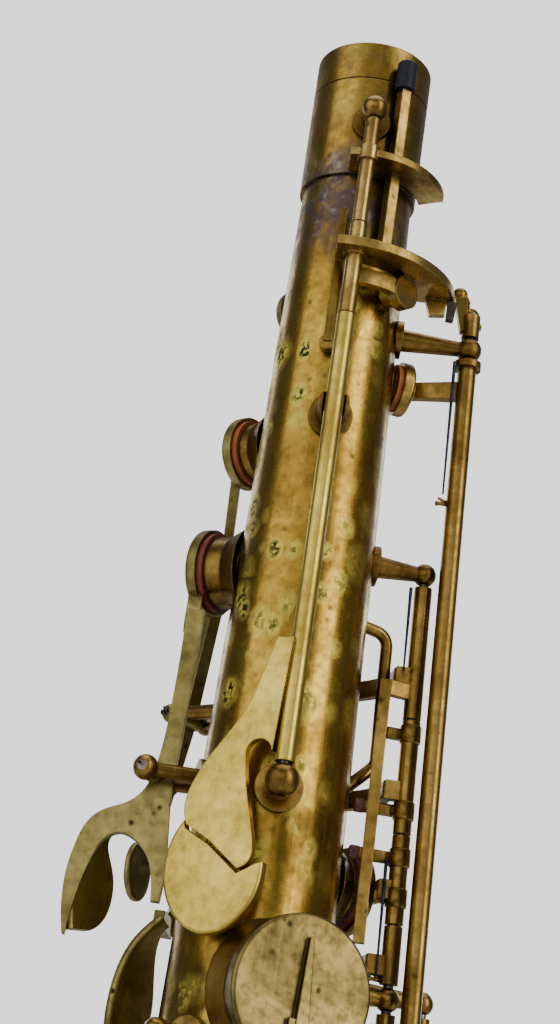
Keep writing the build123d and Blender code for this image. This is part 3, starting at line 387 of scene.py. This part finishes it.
STACK_AZIMUTH, STACK_CHIMNEY, STACK_OPEN = 175, 1.6, 7.0
BELL_KEY_OPEN = 5.5
STACK_CUPS = {
    "c_vent_key": (481.5, 11.0), "b_key": (463.0, 14.0), "a_key": (436.0, 16.0), "g_key": (412.0, 17.0),
    "f_sharp_key": (378.0, 17.5), "f_key": (356.5, 18.5), "e_key": (334.0, 19.5), "d_key": (300.0, 21.0),
}
# cups that carry their pad in the same node: azimuth, height, cup diameter, chimney, angle open at rest
PADS_IN_KEYS = {
    name: (STACK_AZIMUTH, height, diameter, STACK_CHIMNEY, STACK_OPEN)
    for name, (height, diameter) in STACK_CUPS.items()
}
PADS_IN_KEYS |= {
    "side_c_key": (126, 396.0, 12.5, 2.2, 0.0),
    "side_b_flat_key": (126, 368.5, 13.0, 2.2, 0.0),
    "low_e_flat_key": (38, 252.0, 20.0, 2.0, 0.0),
    "low_c_key": (158, 226.0, 24.0, 2.0, BELL_KEY_OPEN),
    "low_c_sharp_key": (-158, 205.0, 24.0, 2.0, BELL_KEY_OPEN),
    "low_b_key": (-150, 168.0, 27.0, 2.2, BELL_KEY_OPEN),
    "low_b_flat_key": (-140, 128.0, 29.0, 2.4, BELL_KEY_OPEN),
}
PEARLED = {"b_key", "a_key", "g_key", "f_key", "e_key", "d_key"}


def body_radius(height):
    """Outside radius of the conical body at a height above the bell rim, in millimetres."""
    return TUBE_TOP_RADIUS + (TUBE_TOP - height) * TAPER


def out(azimuth):
    """Level direction away from the bore; 0 faces the thumb's side and 90 is +X."""
    turn = math.radians(azimuth)
    return Vector((math.sin(turn), -math.cos(turn), 0))


def paint(name):
    """Gives a CAD node its material, and its pad and pearl faces theirs."""
    mesh = NODES[name].data
    mesh.materials.clear()
    mesh.materials.append(BY_NODE.get(name, KEY))
    for face in mesh.polygons:
        face.material_index = 0
    if name not in PADS_IN_KEYS:
        return
    mesh.materials.append(TAN)
    mesh.materials.append(PEARL)
    azimuth, height, diameter, chimney, angle = PADS_IN_KEYS[name]
    joint = JOINTS[name]
    pivot = Vector(joint["pos_m"])
    turn = Matrix.Rotation(math.radians(angle), 4, Vector(joint["axis"]))
    closing = Matrix.Translation(pivot) @ turn @ Matrix.Translation(-pivot)
    outward = out(azimuth)
    seat = body_radius(height) + chimney + SEAT_GAP
    for face in mesh.polygons:
        place = closing @ face.center / MM
        depth = place.dot(outward)
        aside = (place - outward * depth - Vector((0, 0, height))).length
        if depth < seat + PAD_DEPTH and aside < diameter / 2 - PAD_MARGIN:
            face.material_index = 1
        if name in PEARLED and depth > seat + PEARL_DEPTH and aside < PEARL_RADIUS:
            face.material_index = 2


for node_name in NODES:
    paint(node_name)


# ------------------------------------------------------------------ added detail
def new_piece(name, mesh_maker, material, body):
    """Makes a smooth-shaded piece from a mesh maker and lets it ride on a body."""
    mesh = bpy.data.meshes.new(name)
    bm = bmesh.new()
    mesh_maker(bm)
    bm.to_mesh(mesh)
    bm.free()
    mesh.materials.append(material)
    for face in mesh.polygons:
        face.use_smooth = True
    piece = bpy.data.objects.new(name, mesh)
    bpy.context.scene.collection.objects.link(piece)
    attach(piece, body)


def block(bm, centre, along, side, size, rounding):
    """Block with softened edges; along and side are two of its directions."""
    along = Vector(along).normalized()
    side = (Vector(side) - along * Vector(side).dot(along)).normalized()
    place = Matrix.Translation(Vector(centre) * MM)
    turn = Matrix((side, along.cross(side), along)).transposed().to_4x4()
    stretch = Matrix.Diagonal((*(Vector(size) * MM), 1))
    made = bmesh.ops.create_cube(bm, size=1.0, matrix=place @ turn @ stretch)
    edges = {edge for vert in made["verts"] for edge in vert.link_edges}
    bmesh.ops.bevel(bm, geom=list(edges), offset=rounding * MM, segments=2, affect="EDGES", profile=0.5)


def turned(bm, centre, direction, profile, sides=20):
    """Turned shape: profile gives (distance along the axis, radius) pairs."""
    direction = Vector(direction).normalized()
    frame_turn = direction.to_track_quat("Z", "Y").to_matrix().to_4x4()
    place = Matrix.Translation(Vector(centre) * MM) @ frame_turn
    rings = []
    for height, radius in profile:
        ring = []
        for i in range(sides):
            angle = math.tau * i / sides
            corner = Vector((radius * MM * math.cos(angle), radius * MM * math.sin(angle), height * MM))
            ring.append(bm.verts.new(place @ corner))
        rings.append(ring)
    for low, high in zip(rings, rings[1:]):
        for i in range(sides):
            bm.faces.new((low[i], low[(i + 1) % sides], high[(i + 1) % sides], high[i]))
    bm.faces.new(rings[-1])
    bm.faces.new(rings[0][::-1])


def hinge(child, height):
    """Point on a key's hinge line at a height, in millimetres, with the line's upward direction."""
    joint = JOINTS[child]
    pivot, axis = Vector(joint["pos_m"]) / MM, Vector(joint["axis"]).normalized()
    axis = axis if axis.z > 0 else -axis
    return pivot + axis * ((height - pivot.z) / axis.z), axis


def stack_lug(name, body, height, reach, cork=False):
    """Small arm that stands off a stack tube towards the body, some with a cork block on the end."""
    hub, axis = hinge(body, height)
    inward = Vector((-hub.x, -hub.y, 0)).normalized()
    side = Vector((-inward.y, inward.x, 0))

    def arm(bm):
        block(bm, hub + inward * (1.2 + reach / 2) - side * 1.0, inward, axis, (1.9, 1.3, reach), 0.25)
        turned(bm, hub - axis * 1.5, axis, [(0, 1.5), (0.2, 1.72), (2.8, 1.72), (3.0, 1.5)])

    new_piece(name, arm, KEY, body)
    if cork:
        def pad_block(bm):
            block(bm, hub + inward * (1.7 + reach) - side * 1.0, inward, axis, (2.1, 1.5, 1.7), 0.3)
        new_piece(name + "_cork", pad_block, RED_CORK, body)


def spring_hook(name, body, height, azimuth):
    """Tiny double-ended cradle that catches the end of a needle spring."""
    hub, axis = hinge(body, height)
    outward = out(azimuth)

    def hook(bm):
        foot = hub + outward * 1.2
        stem = [(0, 0.42), (1.0, 0.34), (1.5, 0.30), (1.9, 0.46), (2.15, 0.30)]
        finger = [(0, 0.3), (1.8, 0.26), (2.0, 0.1)]
        turned(bm, foot, outward, stem, 12)
        turned(bm, foot + Vector((0, 0, 0.1)), outward + Vector((0, 0, 0.5)), finger, 10)

    new_piece(name, hook, KEY, body)


stack_lug("b_upper_lug", "b_key", 472.3, 2.6)
stack_lug("b_lower_lug", "b_key", 460.0, 5.2, cork=True)
stack_lug("bis_upper_lug", "bis_key", 452.6, 5.4, cork=True)
stack_lug("bis_lower_lug", "bis_key", 446.4, 2.4)
spring_hook("side_e_hook", "side_e_key", 511.0, -95)
spring_hook("c_vent_hook", "c_vent_key", 481.6, -85)
spring_hook("a_hook", "a_key", 433.8, -85)


# ------------------------------------------------------------------ studio
FLOOR_RADIUS = 1.3
FLOOR_GAP = 0.0004
AIR_ON_OBJECT = 0.17
AIR_IN_VIEW = 1.9


def stage_floor():
    """Plain pale floor under the bell."""
    bm = bmesh.new()
    bmesh.ops.create_circle(bm, cap_ends=True, segments=96, radius=FLOOR_RADIUS)
    mesh = bpy.data.meshes.new("studio_floor")
    bm.to_mesh(mesh)
    bm.free()
    g = Graph("pale_paper")
    tone = g.ramp(g.noise(3, 3), [(0.3, (0.70, 0.705, 0.70)), (0.7, (0.74, 0.745, 0.74))])
    g.link(tone, g.shader.inputs["Base Color"])
    g.shader.inputs["Roughness"].default_value = 0.9
    mesh.materials.append(g.material)
    floor = bpy.data.objects.new("studio_floor", mesh)
    floor.location.z = -FLOOR_GAP
    bpy.context.scene.collection.objects.link(floor)


def area_light(name, position, target, width, height, power, colour=(1, 1, 1)):
    """Soft rectangular light turned to face a target."""
    light = bpy.data.lights.new(name, "AREA")
    light.shape = "RECTANGLE"
    light.size, light.size_y = width, height
    light.energy = power
    light.color = colour
    lamp = bpy.data.objects.new(name, light)
    lamp.location = position
    lamp.rotation_mode = "QUATERNION"
    lamp.rotation_quaternion = (Vector(target) - Vector(position)).to_track_quat("-Z", "Y")
    bpy.context.scene.collection.objects.link(lamp)


def studio_air():
    """Pale studio surroundings that light the object only dimly."""
    world = bpy.data.worlds.new("studio_air")
    world.use_nodes = True
    tree = world.node_tree
    dim = tree.nodes["Background"]
    dim.inputs["Color"].default_value = (0.80, 0.84, 0.90, 1)
    dim.inputs["Strength"].default_value = AIR_ON_OBJECT
    pale = tree.nodes.new("ShaderNodeBackground")
    pale.inputs["Color"].default_value = (0.86, 0.86, 0.85, 1)
    pale.inputs["Strength"].default_value = AIR_IN_VIEW
    path = tree.nodes.new("ShaderNodeLightPath")
    either = tree.nodes.new("ShaderNodeMixShader")
    tree.links.new(path.outputs["Is Camera Ray"], either.inputs[0])
    tree.links.new(dim.outputs[0], either.inputs[1])
    tree.links.new(pale.outputs[0], either.inputs[2])
    tree.links.new(either.outputs[0], tree.nodes["World Output"].inputs["Surface"])
    bpy.context.scene.world = world


stage_floor()
studio_air()
MIDDLE = (0, 0, 0.42)
area_light("window_right", (0.92, -0.77, 0.80), MIDDLE, 0.55, 1.5, 12, (1.0, 0.96, 0.90))
area_light("window_left", (-1.07, -0.75, 0.75), MIDDLE, 1.0, 1.5, 8, (0.98, 0.98, 1.0))
area_light("rear_left", (-1.0, 1.5, 0.8), MIDDLE, 1.0, 1.4, 9)
area_light("rear_right", (1.0, 1.7, 0.8), MIDDLE, 0.7, 1.4, 7)
area_light("front", (-0.35, -1.9, 1.0), MIDDLE, 1.8, 1.4, 9, (1.0, 0.98, 0.95))
area_light("overhead", (0.0, 0.1, 2.3), (0, 0, 0), 1.8, 1.8, 22)


# ------------------------------------------------------------------ camera
# focal length over the picture's longer side; distance in front of the bore and eye height in millimetres
SENSOR = 36
FOCAL_SHARE = 1.953125
DISTANCE, EYE_HEIGHT = 306.28, 393.39
PITCH, YAW, ROLL = math.radians(20.10), math.radians(-1.007), math.radians(8.364)


def make_camera():
    """Camera in front of the thumb's side, looking up and leaning."""
    forward = Vector((math.sin(YAW) * math.cos(PITCH), math.cos(YAW) * math.cos(PITCH), math.sin(PITCH)))
    level = forward.cross(Vector((0, 0, 1))).normalized()
    over = level.cross(forward)
    right = level * math.cos(ROLL) + over * math.sin(ROLL)
    up = over * math.cos(ROLL) - level * math.sin(ROLL)
    data = bpy.data.cameras.new("photo_camera")
    data.sensor_fit = "AUTO"
    data.sensor_width = SENSOR
    data.lens = SENSOR * FOCAL_SHARE
    data.clip_start = 0.01
    data.clip_end = 20
    camera = bpy.data.objects.new("photo_camera", data)
    camera.matrix_world = Matrix((
        (right.x, up.x, -forward.x, 0),
        (right.y, up.y, -forward.y, -DISTANCE * MM),
        (right.z, up.z, -forward.z, EYE_HEIGHT * MM),
        (0, 0, 0, 1),
    ))
    bpy.context.scene.collection.objects.link(camera)
    bpy.context.scene.camera = camera


make_camera()
